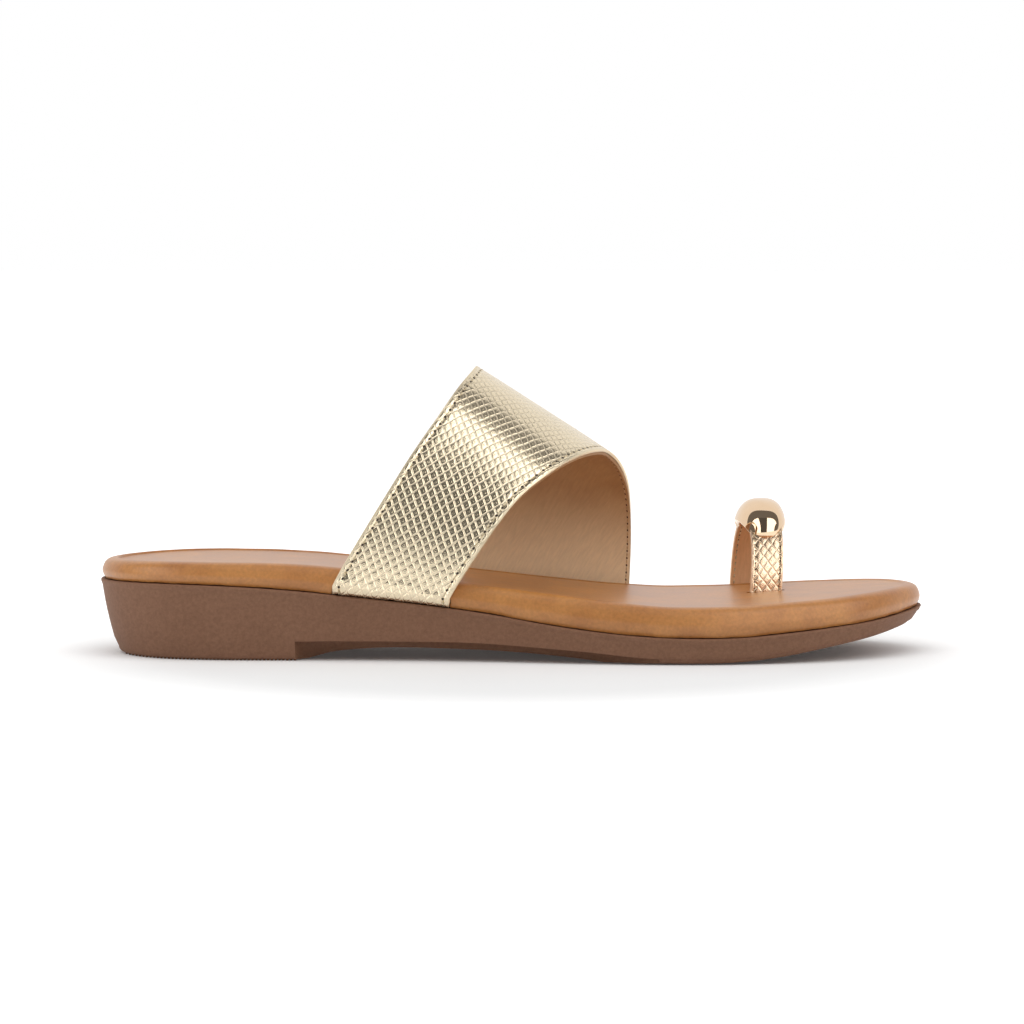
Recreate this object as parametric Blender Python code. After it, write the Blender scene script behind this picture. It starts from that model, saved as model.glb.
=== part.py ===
"""A right-foot toe loop sandal, made as five pieces: a moulded sole unit with a low heel,
a padded footbed, a broad slanting vamp strap, a toe loop and its polished bead.

The tables are written in millimetres, with x measured forwards from the back of the heel,
y towards the inner (big toe) side and z up from the floor. Meshes are in metres, and the
whole sandal hangs on one empty that puts the origin under the middle of the heel."""

import math
from collections import namedtuple

import bmesh
import bpy
from mathutils import Vector

MM = 0.001

# Driving dimensions
SOLE_LENGTH = 255 * MM
HEEL_CENTRE = 33 * MM
RING_STEPS = 88
SPINE_START = 26 * MM
SPINE_END = 222 * MM
CLEARANCE = 0.3 * MM

# Sole unit
RIM_LIP = 0.7 * MM
RIM_HEIGHT = 1.2 * MM
FLOOR_EDGE_RADIUS = 2.0 * MM
BREAST_FILLET = 7.0 * MM
CUT_OVERRUN = 8.0 * MM
CUT_BASE = -2.0 * MM

# Footbed
FOOTBED_UNDER_ROLL = 1.3 * MM
FOOTBED_EDGE_ROLL = 6.0 * MM
HEEL_CUP_DEPTH = 1.6 * MM
HEEL_CUP_LENGTH = 75 * MM

# Vamp strap
STRAP_THICKNESS = 2.0 * MM
STRAP_OUTSTAND = 0.45 * MM + STRAP_THICKNESS / 2
STRAP_MARGIN = 8.0 * MM
STRAP_BEND_RADIUS = 1.7 * MM
STRAP_ROUND_STEPS = 30
STRAP_CROSS_STEPS = 8

# Toe loop
LOOP_WIDTH = 10.0 * MM
LOOP_THICKNESS = 1.8 * MM
LOOP_OUTER_LEG_X = 207.1 * MM
LOOP_OUTER_LEG_Y = 9.5 * MM
LOOP_TURN = math.radians(7.6)
LOOP_LEAN = math.radians(3.5)
LOOP_TOP = 39.5 * MM
LOOP_SHOULDER = 2.4
LOOP_ROUND_STEPS = 22
LOOP_SLOT_SPARE = 1.0 * MM

# Toe bead
BEAD_LENGTH = 24.0 * MM
BEAD_WIDTH = 15.0 * MM
BEAD_RISE = 6.6 * MM
BEAD_LIP = 2.4 * MM
BEAD_STEPS_ALONG = 18
BEAD_STEPS_ROUND = 24


def table(columns, *rows):
    """Rows typed in millimetres, as named tuples in metres."""
    row_type = namedtuple("Row", columns)
    return [row_type(*(value * MM for value in row)) for row in rows]


# The sole's outline seen from above: the outer and the inner edge at each x.
OUTLINE = table(
    "x outer inner",
    (6, -17.0, 17.0),
    (15, -25.2, 25.0),
    (30, -30.8, 30.3),
    (50, -32.2, 31.2),
    (75, -32.2, 29.6),
    (100, -33.8, 28.6),
    (125, -37.4, 30.2),
    (150, -42.0, 34.6),
    (172, -45.0, 39.4),
    (192, -44.6, 42.8),
    (210, -40.6, 43.2),
    (226, -33.8, 40.4),
    (240, -23.4, 33.0),
    (249, -11.5, 24.2),
)

# The sandal seen from the side: underside, seam between sole and footbed, and footbed top.
SIDE_VIEW = table(
    "x floor seam top",
    (0, 0.0, 23.2, 29.2),
    (20, 0.0, 23.4, 29.7),
    (40, 0.0, 22.9, 29.8),
    (60, 0.0, 21.6, 29.3),
    (80, 0.0, 19.6, 27.7),
    (100, 0.0, 17.5, 25.4),
    (120, 0.0, 14.9, 23.1),
    (140, 0.0, 11.6, 20.7),
    (160, 0.0, 9.2, 18.4),
    (180, 0.0, 8.1, 17.2),
    (188, 0.0, 8.05, 17.2),
    (198, 0.4, 8.3, 17.4),
    (210, 1.7, 9.2, 18.1),
    (225, 4.1, 10.5, 19.0),
    (240, 6.5, 12.0, 20.1),
    (255, 9.4, 14.4, 21.0),
)

# How far the sole's wall leans in from its rim to the floor.
WALL_LEAN = table(
    "x lean",
    (0, 5.0),
    (12, 3.8),
    (35, 2.6),
    (100, 1.6),
    (180, 1.2),
    (235, 1.6),
    (255, 3.2),
)

# The undercut beside the waist (the height of its ledge and its depth), and the height of
# the underside between heel and ball (arch).
WAIST = table(
    "x ledge depth arch",
    (61, 6.0, 8.0, -0.5),
    (66, 6.0, 8.0, 0.6),
    (72, 6.1, 8.0, 2.2),
    (80, 6.1, 8.0, 3.1),
    (110, 6.1, 8.0, 3.4),
    (125, 5.5, 8.0, 2.9),
    (140, 4.5, 7.5, 1.9),
    (152, 3.6, 6.0, 0.8),
    (162, 2.6, 4.0, -0.5),
    (172, 1.7, 2.0, -0.8),
)

# The instep of the last: its ridge height, how far the ridge lies to the inner side.
INSTEP = table(
    "x ridge_z ridge_y",
    (60, 118.0, 2.0),
    (85, 106.0, 3.0),
    (116, 88.0, 4.0),
    (135, 75.9, 5.0),
    (155, 62.9, 6.0),
    (170, 52.3, 7.0),
)
INSTEP_OUTER_SHOULDER = 2.1
INSTEP_INNER_SHOULDER = 2.4

# The strap's two edges, by how far round the foot they are, from the outer side (0) over
# the instep (90) to the inner side (180), in degrees.
StrapRow = namedtuple("StrapRow", "degrees rear front")
STRAP_EDGES = [
    StrapRow(0, 72.8 * MM, 108.5 * MM),
    StrapRow(10, 81.5 * MM, 116.0 * MM),
    StrapRow(20, 89.3 * MM, 122.7 * MM),
    StrapRow(30, 96.0 * MM, 129.0 * MM),
    StrapRow(45, 104.5 * MM, 138.8 * MM),
    StrapRow(60, 110.4 * MM, 147.0 * MM),
    StrapRow(75, 114.4 * MM, 153.2 * MM),
    StrapRow(90, 116.0 * MM, 157.2 * MM),
    StrapRow(105, 116.9 * MM, 161.0 * MM),
    StrapRow(120, 117.0 * MM, 163.7 * MM),
    StrapRow(140, 116.0 * MM, 165.2 * MM),
    StrapRow(160, 113.5 * MM, 165.3 * MM),
    StrapRow(180, 110.0 * MM, 164.6 * MM),
]


def through(xs, ys):
    """A smooth function through the points, in cubic pieces with three-point slopes. It
    stays level where two neighbouring points are."""
    spans = [b - a for a, b in zip(xs, xs[1:])]
    rises = [(b - a) / span for a, b, span in zip(ys, ys[1:], spans)]
    slopes = [rises[0]]
    for i in range(1, len(rises)):
        weight = spans[i] / (spans[i - 1] + spans[i])
        slope = rises[i - 1] * weight + rises[i] * (1 - weight)
        slopes.append(slope if rises[i - 1] and rises[i] else 0.0)
    slopes.append(rises[-1])

    def at(x):
        x = min(max(x, xs[0]), xs[-1])
        i = max(k for k in range(len(spans)) if xs[k] <= x)
        t = (x - xs[i]) / spans[i]
        return (
            (1 + 2 * t) * (1 - t) ** 2 * ys[i]
            + t * (1 - t) ** 2 * spans[i] * slopes[i]
            + t * t * (3 - 2 * t) * ys[i + 1]
            + t * t * (t - 1) * spans[i] * slopes[i + 1]
        )

    return at


def column(rows, across, value):
    """One column of a table as a smooth function of another."""
    return through(
        [getattr(row, across) for row in rows], [getattr(row, value) for row in rows]
    )


seam_z = column(SIDE_VIEW, "x", "seam")
top_z = column(SIDE_VIEW, "x", "top")
floor_z = column(SIDE_VIEW, "x", "floor")
wall_lean = column(WALL_LEAN, "x", "lean")
ledge_z = column(WAIST, "x", "ledge")
undercut_depth = column(WAIST, "x", "depth")
arch_z = column(WAIST, "x", "arch")
ridge_z = column(INSTEP, "x", "ridge_z")
ridge_y = column(INSTEP, "x", "ridge_y")
strap_rear = column(STRAP_EDGES, "degrees", "rear")
strap_front = column(STRAP_EDGES, "degrees", "front")


def roundness(x):
    """The half width of a circle-ended strip at x, against which widths are compared."""
    share = min(max(x / SOLE_LENGTH, 0.0), 1.0)
    return math.sqrt(share * (1 - share)) * 2


# The width and centre line are read as shares of a round-ended form, so that the heel and
# the toe close in a smooth curve.
fullness = through(
    [row.x for row in OUTLINE],
    [(row.inner - row.outer) / 2 / roundness(row.x) for row in OUTLINE],
)
centre_line = through(
    [row.x for row in OUTLINE], [(row.inner + row.outer) / 2 for row in OUTLINE]
)


def edge_y(x, side):
    """The outline's outer (side -1) or inner (side 1) edge at x."""
    return centre_line(x) + side * fullness(x) * roundness(x)


def outline_point(step):
    """A point of the outline, from the heel's back round the outer side to the toe and on."""
    share = step % RING_STEPS / RING_STEPS
    x = SOLE_LENGTH * (1 - math.cos(2 * math.pi * share)) / 2
    return Vector((x, edge_y(x, -1 if share < 0.5 else 1), 0))


def outline_ring(inset):
    """The outline as flat points, each moved in by the inset that a function of x gives."""
    ring = []
    for step in range(RING_STEPS):
        point = outline_point(step)
        along = outline_point(step + 1) - outline_point(step - 1)
        inward = Vector((-along.y, along.x, 0)).normalized()
        ring.append(point + inward * inset(point.x))
    return ring


def even(inset):
    return lambda x: inset


def toward_spine(ring, share):
    """The ring drawn in towards the sole's middle line, which it meets at a share of 1."""
    drawn = []
    for i, point in enumerate(ring):
        across = ring[-i % RING_STEPS]
        x = (point.x + across.x) / 2
        x = min(max(x, SPINE_START), SPINE_END)
        drawn.append(point.lerp(Vector((x, centre_line(x), 0)), share))
    return drawn


def lifted(ring, height):
    """The flat ring raised to the height that a function of x and y gives."""
    return [Vector((p.x, p.y, height(p.x, p.y))) for p in ring]


def add_object(name, mesh):
    obj = bpy.data.objects.new(name, mesh)
    bpy.context.scene.collection.objects.link(obj)
    return obj


def cap(work, verts):
    """Closes a flat ring of points with a row of faces across it."""
    for i in range(len(verts) // 2 - 1):
        work.faces.new((verts[i], verts[i + 1], verts[-2 - i], verts[-1 - i]))


def loft(name, rings, capped=False):
    """An object skinned over rings of points, by extruding each ring's edges to the next.
    Points that meet, as along a spine, are merged."""
    work = bmesh.new()
    verts = [work.verts.new(point) for point in rings[0]]
    edges = [work.edges.new((verts[i - 1], vert)) for i, vert in enumerate(verts)]
    if capped:
        cap(work, verts)
    for ring in rings[1:]:
        made = bmesh.ops.extrude_edge_only(work, edges=edges)["geom"]
        fresh = {item for item in made if isinstance(item, bmesh.types.BMVert)}
        edges = [
            item
            for item in made
            if isinstance(item, bmesh.types.BMEdge) and fresh.issuperset(item.verts)
        ]
        verts = [
            next(e.other_vert(v) for e in v.link_edges if e.other_vert(v) in fresh)
            for v in verts
        ]
        for vert, point in zip(verts, ring):
            vert.co = point
    if capped:
        cap(work, verts)
    bmesh.ops.remove_doubles(work, verts=work.verts[:], dist=0.01 * MM)
    bmesh.ops.recalc_face_normals(work, faces=work.faces[:])
    mesh = bpy.data.meshes.new(name)
    work.to_mesh(mesh)
    work.free()
    return add_object(name, mesh)


def cut(obj, cutter):
    """Takes the cutter out of the object, and leaves it as a helper that isn't built."""
    cutter.hide_render = True
    cutter.display_type = "WIRE"
    boolean = obj.modifiers.new("cut_" + cutter.name, "BOOLEAN")
    boolean.operation = "DIFFERENCE"
    boolean.solver = "EXACT"
    boolean.object = cutter


def beam_cutter(name, stations):
    """A cutter along x: at each station its low and high y, and its flat base and roof."""
    rings = [
        [
            Vector((x, low, base)),
            Vector((x, high, base)),
            Vector((x, high, roof)),
            Vector((x, low, roof)),
        ]
        for x, low, high, base, roof in stations
    ]
    return loft(name, rings, capped=True)


# Sole unit


def sole_wall(share, rise=0.0, inset=0.0):
    """A ring of the sole's wall: its share of the height from floor to rim, and a rise and
    an inset on top of that."""

    def lean(x):
        return wall_lean(x) * (1 - share) ** 1.5 + inset

    def height(x, y):
        return floor_z(x) + (seam_z(x) - floor_z(x)) * share + rise

    return lifted(outline_ring(lean), height)


def sole_unit():
    """The sole from its underside's middle, out and up its wall, to its upper face's middle,
    with the undercuts beside the waist and the arch under it taken out."""
    radius = FLOOR_EDGE_RADIUS
    under = outline_ring(lambda x: wall_lean(x) + radius)
    top = outline_ring(even(RIM_LIP * 2))
    rings = [lifted(toward_spine(under, share), underside) for share in (1, 0.5)]
    rings += [
        sole_wall(0, 0.0, radius),
        sole_wall(0, radius * 0.3, radius * 0.3),
        sole_wall(0, radius, 0.0),
        sole_wall(0.35),
        sole_wall(0.7),
        sole_wall(1, -RIM_HEIGHT, -RIM_LIP * 0.4),
        sole_wall(1, -RIM_HEIGHT * 0.5, -RIM_LIP),
        sole_wall(1, 0.0, -RIM_LIP * 0.5),
    ]
    rings += [lifted(toward_spine(top, share), rim_top) for share in (0, 0.5, 1)]
    sole = loft("sole_unit", rings)
    for side, name in ((-1, "outer_undercut"), (1, "inner_undercut")):
        cut(sole, beam_cutter(name, [undercut_station(x, side) for x in waist_stations()]))
    arch = [
        (x, edge_y(x, -1) + 4 * MM, edge_y(x, 1) - 4 * MM, CUT_BASE, arch_z(x))
        for x in waist_stations()
    ]
    cut(sole, beam_cutter("arch", arch))
    return sole


def underside(x, y):
    return floor_z(x)


def rim_top(x, y):
    return seam_z(x)


def waist_stations():
    """Where the waist's cutters have a section, closely spaced round the heel's corner."""
    start = WAIST[0].x
    corner = [start + BREAST_FILLET * (1 - math.cos(math.radians(a))) for a in (25, 50, 75)]
    return sorted(corner + [row.x for row in WAIST])


def undercut_station(x, side):
    """A section of the undercut, whose wall turns in with a round corner at the heel."""
    into = min((x - WAIST[0].x) / BREAST_FILLET, 1.0)
    inset = undercut_depth(x) * math.sqrt(1 - (1 - into) ** 2)
    wall = edge_y(x, side) - side * inset
    low, high = sorted((wall, edge_y(x, side) + side * CUT_OVERRUN))
    return x, low, high, CUT_BASE, ledge_z(x)


# Footbed


def footbed_height(x, y):
    """The footbed's top, with a shallow cup where the heel rests."""
    half = max(fullness(x) * roundness(x), 1 * MM)
    off = (y - centre_line(x)) / half
    along = (x - HEEL_CENTRE) / HEEL_CUP_LENGTH
    cup = HEEL_CUP_DEPTH * max(0.0, 1 - along * along) * max(0.0, 1 - off * off)
    return top_z(x) - cup


def footbed_under(x, y):
    return seam_z(x) + CLEARANCE


def footbed_side(inset, share):
    """A ring of the footbed's rolled side, by its share of the height."""
    return [
        Vector((p.x, p.y, seam_z(p.x) + CLEARANCE + share * (top_z(p.x) - seam_z(p.x))))
        for p in outline_ring(even(inset))
    ]


def footbed():
    roll = FOOTBED_EDGE_ROLL
    under = outline_ring(even(FOOTBED_UNDER_ROLL))
    top = outline_ring(even(roll))
    rings = [lifted(toward_spine(under, share), footbed_under) for share in (1, 0.5, 0)]
    rings += [
        footbed_side(0.25 * MM, 0.16),
        footbed_side(0.0, 0.38),
        footbed_side(0.05 * roll, 0.58),
        footbed_side(0.17 * roll, 0.77),
        footbed_side(0.38 * roll, 0.9),
        footbed_side(0.66 * roll, 0.975),
    ]
    rings += [
        lifted(toward_spine(top, share), footbed_height)
        for share in (0, 0.25, 0.5, 0.75, 1)
    ]
    return loft("footbed", rings)


# Straps


def band(name, middle, thickness):
    """A band of even thickness round a grid of points in the middle of its thickness."""
    rings = []
    last = len(middle) - 1
    for i, row in enumerate(middle):
        outer, inner = [], []
        for j, point in enumerate(row):
            along = middle[min(i + 1, last)][j] - middle[max(i - 1, 0)][j]
            across = row[min(j + 1, len(row) - 1)] - row[max(j - 1, 0)]
            out = across.cross(along).normalized() * thickness / 2
            outer.append(point + out)
            inner.append(point - out)
        rings.append(outer + inner[::-1])
    return loft(name, rings, capped=True)


def instep_point(x, degrees):
    """The middle of the strap's thickness over the last, at x and so far round the foot."""
    side = -1 if degrees < 90 else 1
    shoulder = INSTEP_OUTER_SHOULDER if side < 0 else INSTEP_INNER_SHOULDER
    angle = math.radians(degrees)
    foot_edge = edge_y(x, side) + side * STRAP_OUTSTAND
    start = seam_z(x) + CLEARANCE + STRAP_THICKNESS / 2 + STRAP_BEND_RADIUS
    wide = abs(math.cos(angle)) ** (2 / shoulder)
    high = math.sin(angle) ** (2 / shoulder)
    return Vector(
        (
            x,
            ridge_y(x) + (foot_edge - ridge_y(x)) * wide,
            start + (ridge_z(x) - start) * high,
        )
    )


def margin_drop(reach):
    """How far a strap has turned in and down, once reach past the foot of its wall."""
    radius = STRAP_BEND_RADIUS
    bend = radius * math.pi / 2
    if reach < bend:
        angle = reach / radius
        return radius * (1 - math.cos(angle)), radius * math.sin(angle)
    return radius + reach - bend, radius


def margin_reaches(margin):
    """Stations along a strap's margin, from the foot of its wall to its hidden end."""
    bend = STRAP_BEND_RADIUS * math.pi / 2
    return [bend / 3, bend * 2 / 3, bend, bend + margin]


def strap_middle(extra=0.0):
    """The vamp strap's grid, from its outer margin over the instep to its inner margin."""
    reaches = margin_reaches(STRAP_MARGIN + extra)
    stations = [(0, reach) for reach in reversed(reaches)]
    stations += [
        (180 * step / STRAP_ROUND_STEPS, 0) for step in range(STRAP_ROUND_STEPS + 1)
    ]
    stations += [(180, reach) for reach in reaches]
    grid = []
    for degrees, reach in stations:
        rear, front = strap_rear(degrees) - extra, strap_front(degrees) + extra
        row = []
        for step in range(STRAP_CROSS_STEPS + 1):
            x = rear + (front - rear) * step / STRAP_CROSS_STEPS
            point = instep_point(x, min(max(degrees, 1e-6), 180 - 1e-6))
            inward, down = margin_drop(reach)
            point.y += inward if degrees < 90 else -inward
            point.z -= down
            row.append(point)
        grid.append(row)
    return grid


def loop_frame():
    """Where the toe loop stands: its outer leg's foot, its run across, and its span."""
    run = Vector((-math.sin(LOOP_TURN), math.cos(LOOP_TURN), 0))
    foot = Vector((LOOP_OUTER_LEG_X, LOOP_OUTER_LEG_Y, 0))
    span = 0.0
    for _ in range(8):
        x = foot.x + run.x * span
        span = (edge_y(x, 1) + STRAP_OUTSTAND - foot.y) / run.y
    return foot, run, span


def loop_path(extra=0.0):
    """The toe loop's middle line: distances across and heights, from its outer leg's end."""
    foot, run, span = loop_frame()
    inner = foot + run * span
    spring = top_z(foot.x) + 1.5 * MM
    start = seam_z(inner.x) + CLEARANCE + LOOP_THICKNESS / 2 + STRAP_BEND_RADIUS
    path = [(0.0, seam_z(foot.x) + CLEARANCE - extra), (0.0, top_z(foot.x))]
    for step in range(LOOP_ROUND_STEPS + 1):
        angle = math.pi * step / LOOP_ROUND_STEPS
        wide = abs(math.cos(angle)) ** (2 / LOOP_SHOULDER)
        high = max(math.sin(angle), 0.0) ** (2 / LOOP_SHOULDER)
        across = span / 2 * (1 - wide if angle < math.pi / 2 else 1 + wide)
        path.append((across, spring + (LOOP_TOP - spring) * high))
    path.append((span, start))
    for reach in margin_reaches(STRAP_MARGIN + extra):
        inward, down = margin_drop(reach)
        path.append((span - inward, start - down))
    return path


def loop_place(across, height):
    """A point of the loop's plane, which leans a little towards the toe."""
    foot, run, _ = loop_frame()
    lean = math.tan(LOOP_LEAN) * (height - top_z(foot.x))
    return foot + run * across + Vector((lean, 0, height))


def loop_middle(half_width, extra=0.0):
    """The toe loop's grid, whose width follows the rise of the sole towards the toe."""
    run = loop_frame()[1]
    side = Vector((run.y, -run.x, 0))
    grid = []
    for across, height in loop_path(extra):
        centre = loop_place(across, height)
        row = [centre + side * (half_width * k) for k in (-1, 0, 1)]
        for point in row:
            point.z += seam_z(point.x) - seam_z(centre.x)
        grid.append(row)
    return grid


def toe_loop():
    return band("toe_loop", loop_middle(LOOP_WIDTH / 2), LOOP_THICKNESS)


# Toe bead


def bead_rings():
    """The bead as rings square to the toe loop's arch, closed to a point at both ends."""
    run = loop_frame()[1]
    side = Vector((run.y, -run.x, 0))
    arch = [loop_place(across, height) for across, height in loop_path()]
    lengths = [0.0]
    for a, b in zip(arch, arch[1:]):
        lengths.append(lengths[-1] + (b - a).length)
    top = max(range(len(arch)), key=lambda i: arch[i].z)
    places = [through(lengths, [point[k] for point in arch]) for k in range(3)]
    rings = []
    for step in range(BEAD_STEPS_ALONG + 1):
        turn = math.pi * step / BEAD_STEPS_ALONG
        away = lengths[top] - BEAD_LENGTH / 2 * math.cos(turn)
        point = Vector([place(away) for place in places])
        along = Vector([place(away + 0.2 * MM) for place in places]) - point
        outward = along.cross(side).normalized()
        if outward.z < 0:
            outward = -outward
        size = math.sin(turn) ** 0.8
        ring = []
        for k in range(BEAD_STEPS_ROUND):
            angle = 2 * math.pi * k / BEAD_STEPS_ROUND
            rise = math.sin(angle) * (BEAD_RISE if math.sin(angle) > 0 else BEAD_LIP)
            ring.append(
                point
                + side * (BEAD_WIDTH / 2 * size * math.cos(angle))
                + outward * (rise * size)
            )
        rings.append(ring)
    return rings


def toe_bead():
    """The bead, with a channel through it for the toe loop."""
    bead = loft("toe_bead", bead_rings())
    middle = loop_middle(LOOP_WIDTH / 2 + CLEARANCE)
    cut(bead, band("bead_channel", middle, LOOP_THICKNESS + 2 * CLEARANCE))
    return bead


def paint(obj, name, colour, roughness, metallic=0.0):
    material = bpy.data.materials.new(name)
    material.use_nodes = True
    shader = material.node_tree.nodes["Principled BSDF"]
    shader.inputs["Base Color"].default_value = (*colour, 1.0)
    shader.inputs["Roughness"].default_value = roughness
    shader.inputs["Metallic"].default_value = metallic
    obj.data.materials.append(material)


def build():
    for old in list(bpy.data.objects):
        bpy.data.objects.remove(old)
    sole = sole_unit()
    bed = footbed()
    strap = band("vamp_strap", strap_middle(), STRAP_THICKNESS)
    loop = toe_loop()
    bead = toe_bead()
    seat_thickness = STRAP_THICKNESS + 2 * CLEARANCE
    cut(bed, band("strap_seat", strap_middle(CLEARANCE), seat_thickness))
    slot = loop_middle(LOOP_WIDTH / 2 + LOOP_SLOT_SPARE, LOOP_SLOT_SPARE)
    cut(bed, band("loop_slot", slot, LOOP_THICKNESS + 2 * CLEARANCE))

    paint(sole, "sole_rubber", (0.19, 0.1, 0.06), 0.75)
    paint(bed, "footbed_leather", (0.42, 0.17, 0.05), 0.5)
    paint(strap, "gold_snake_leather", (0.78, 0.65, 0.45), 0.3, 0.8)
    paint(loop, "rose_snake_leather", (0.6, 0.35, 0.2), 0.4, 0.6)
    paint(bead, "polished_gold", (0.9, 0.65, 0.4), 0.1, 1.0)

    sandal = bpy.data.objects.new("sandal", None)
    bpy.context.scene.collection.objects.link(sandal)
    sandal.location.x = -HEEL_CENTRE
    for obj in bpy.data.objects:
        if obj != sandal:
            obj.parent = sandal


build()
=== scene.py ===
"""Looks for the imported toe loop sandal: moulded rubber sole, wrapped leather footbed, a
broad vamp strap and a toe loop in gold snake-embossed leather, and a polished bead.

The tables are in millimetres as in the CAD: x forwards from the back of the heel, y towards
the inner (big toe) side, z up from the floor. Every mesh is moved back by HEEL_CENTRE at
the end, which puts the origin under the middle of the heel."""

import math
from collections import namedtuple
from functools import partial
from itertools import accumulate

import bmesh
import bpy
from mathutils import Matrix, Vector, noise


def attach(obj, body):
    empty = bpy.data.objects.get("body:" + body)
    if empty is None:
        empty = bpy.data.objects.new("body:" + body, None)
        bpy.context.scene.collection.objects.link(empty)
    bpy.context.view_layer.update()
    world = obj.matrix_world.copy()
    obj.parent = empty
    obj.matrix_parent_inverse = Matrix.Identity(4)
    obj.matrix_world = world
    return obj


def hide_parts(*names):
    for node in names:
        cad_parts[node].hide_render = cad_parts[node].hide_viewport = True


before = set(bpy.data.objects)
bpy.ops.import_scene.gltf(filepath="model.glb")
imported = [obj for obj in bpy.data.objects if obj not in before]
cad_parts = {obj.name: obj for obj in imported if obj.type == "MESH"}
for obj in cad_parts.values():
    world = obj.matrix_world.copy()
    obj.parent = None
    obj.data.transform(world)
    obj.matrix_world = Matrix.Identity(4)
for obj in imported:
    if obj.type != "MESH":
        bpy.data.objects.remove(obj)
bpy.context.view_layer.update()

MM = 0.001

# The sandal's own dimensions, as in the CAD
SOLE_LENGTH = 255 * MM
HEEL_CENTRE = 33 * MM
RING_STEPS = 264
SPINE_START = 26 * MM
SPINE_END = 222 * MM
CLEARANCE = 0.3 * MM
RIM_LIP = 0.7 * MM
RIM_HEIGHT = 1.2 * MM
FLOOR_EDGE_RADIUS = 1.6 * MM
SOLE_FULL_WALL = 8.0 * MM
BREAST_FILLET = 7.0 * MM
CUT_OVERRUN = 8.0 * MM
CUT_BASE = -2.0 * MM
TREAD_DEPTH = 0.35 * MM
TREAD_PITCH = 1.18 * MM
FOOTBED_EDGE_ROLL = 5.2 * MM
HEEL_CUP_DEPTH = 0.5 * MM
HEEL_CUP_LENGTH = 75 * MM
STRAP_THICKNESS = 2.0 * MM
STRAP_OUTSTAND = 0.45 * MM + STRAP_THICKNESS / 2
STRAP_MARGIN = 8.0 * MM
STRAP_BEND_RADIUS = 1.7 * MM
STRAP_ROUND_STEPS = 340
LOOP_WIDTH = 10.0 * MM
LOOP_THICKNESS = 1.8 * MM
LOOP_OUTER_LEG_X = 207.1 * MM
LOOP_OUTER_LEG_Y = 9.5 * MM
LOOP_TURN = math.radians(7.6)
LOOP_LEAN = math.radians(3.5)
LOOP_TOP = 39.5 * MM
LOOP_SHOULDER = 2.4
LOOP_ROUND_STEPS = 88
LOOP_SLOT_SPARE = 1.0 * MM
BEAD_REACH = 14.8 * MM
BEAD_HALF_WIDTH = 8.1 * MM
BEAD_SQUARENESS = 0.7
BEAD_RISE = 6.6 * MM
BEAD_EQUATOR = 36.0 * MM
BEAD_SEAT = -0.2 * MM
BEAD_LOWEST = math.radians(9)
BEAD_BOW = math.radians(16)
BEAD_STEPS_ALONG = 48
BEAD_STEPS_ROUND = 144
# Leather and sewing
NET_LEAN = math.radians(78)
LAYER_GAP = 0.12 * MM
VAMP_SEAM = 2.0 * MM
VAMP_PITCH = 3.0 * MM
LINING_SEAM = 1.25 * MM
LINING_PITCH = 2.3 * MM
LOOP_SEAM = 1.1 * MM
LOOP_PITCH = 2.0 * MM


def table(columns, *rows, plain=()):
    """Rows typed in millimetres, as named tuples in metres. Plain columns keep their values."""
    row_type = namedtuple("Row", columns)
    units = [1 if name in plain else MM for name in row_type._fields]
    return [row_type(*(value * unit for value, unit in zip(row, units))) for row in rows]


OUTLINE = table(
    "x outer inner",
    (6, -17.0, 17.0),
    (15, -25.2, 25.0),
    (30, -30.8, 30.3),
    (50, -32.2, 31.2),
    (75, -32.2, 29.6),
    (100, -33.8, 28.6),
    (125, -37.4, 30.2),
    (150, -42.0, 34.6),
    (172, -45.0, 39.4),
    (192, -44.6, 42.8),
    (210, -40.6, 43.2),
    (226, -33.8, 40.4),
    (240, -23.4, 33.0),
    (249, -11.5, 24.2),
)
SIDE_VIEW = table(
    "x floor seam top",
    (0, 0.0, 23.2, 29.2),
    (20, 0.0, 23.4, 29.7),
    (40, 0.0, 22.9, 29.8),
    (60, 0.0, 21.6, 29.3),
    (80, 0.0, 19.6, 27.7),
    (100, 0.0, 17.5, 25.4),
    (120, 0.0, 14.9, 23.1),
    (140, 0.0, 11.6, 20.7),
    (160, 0.0, 9.2, 18.4),
    (180, 0.0, 8.1, 17.2),
    (188, 0.0, 8.05, 17.2),
    (198, 0.4, 8.3, 17.4),
    (210, 1.7, 9.2, 18.1),
    (225, 4.1, 10.5, 19.0),
    (240, 6.5, 12.0, 20.1),
    (255, 9.4, 14.4, 21.0),
)
WALL_LEAN = table(
    "x lean",
    (0, 5.0),
    (12, 3.8),
    (35, 2.6),
    (100, 1.6),
    (180, 1.2),
    (235, 1.6),
    (255, 3.2),
)
WAIST = table(
    "x ledge depth arch",
    (61, 6.0, 8.0, -0.5),
    (66, 6.0, 8.0, 0.6),
    (72, 6.1, 8.0, 2.2),
    (80, 6.1, 8.0, 3.1),
    (110, 6.1, 8.0, 3.4),
    (125, 5.5, 8.0, 2.9),
    (140, 4.5, 7.5, 1.9),
    (152, 3.6, 6.0, 0.8),
    (162, 2.6, 4.0, -0.5),
    (172, 1.7, 2.0, -0.8),
)
INSTEP = table(
    "x ridge_z ridge_y",
    (60, 118.0, 2.0),
    (85, 106.0, 3.0),
    (116, 88.0, 4.0),
    (135, 75.9, 5.0),
    (155, 62.9, 6.0),
    (170, 52.3, 7.0),
)
INSTEP_OUTER_SHOULDER = 2.1
INSTEP_INNER_SHOULDER = 2.4
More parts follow.
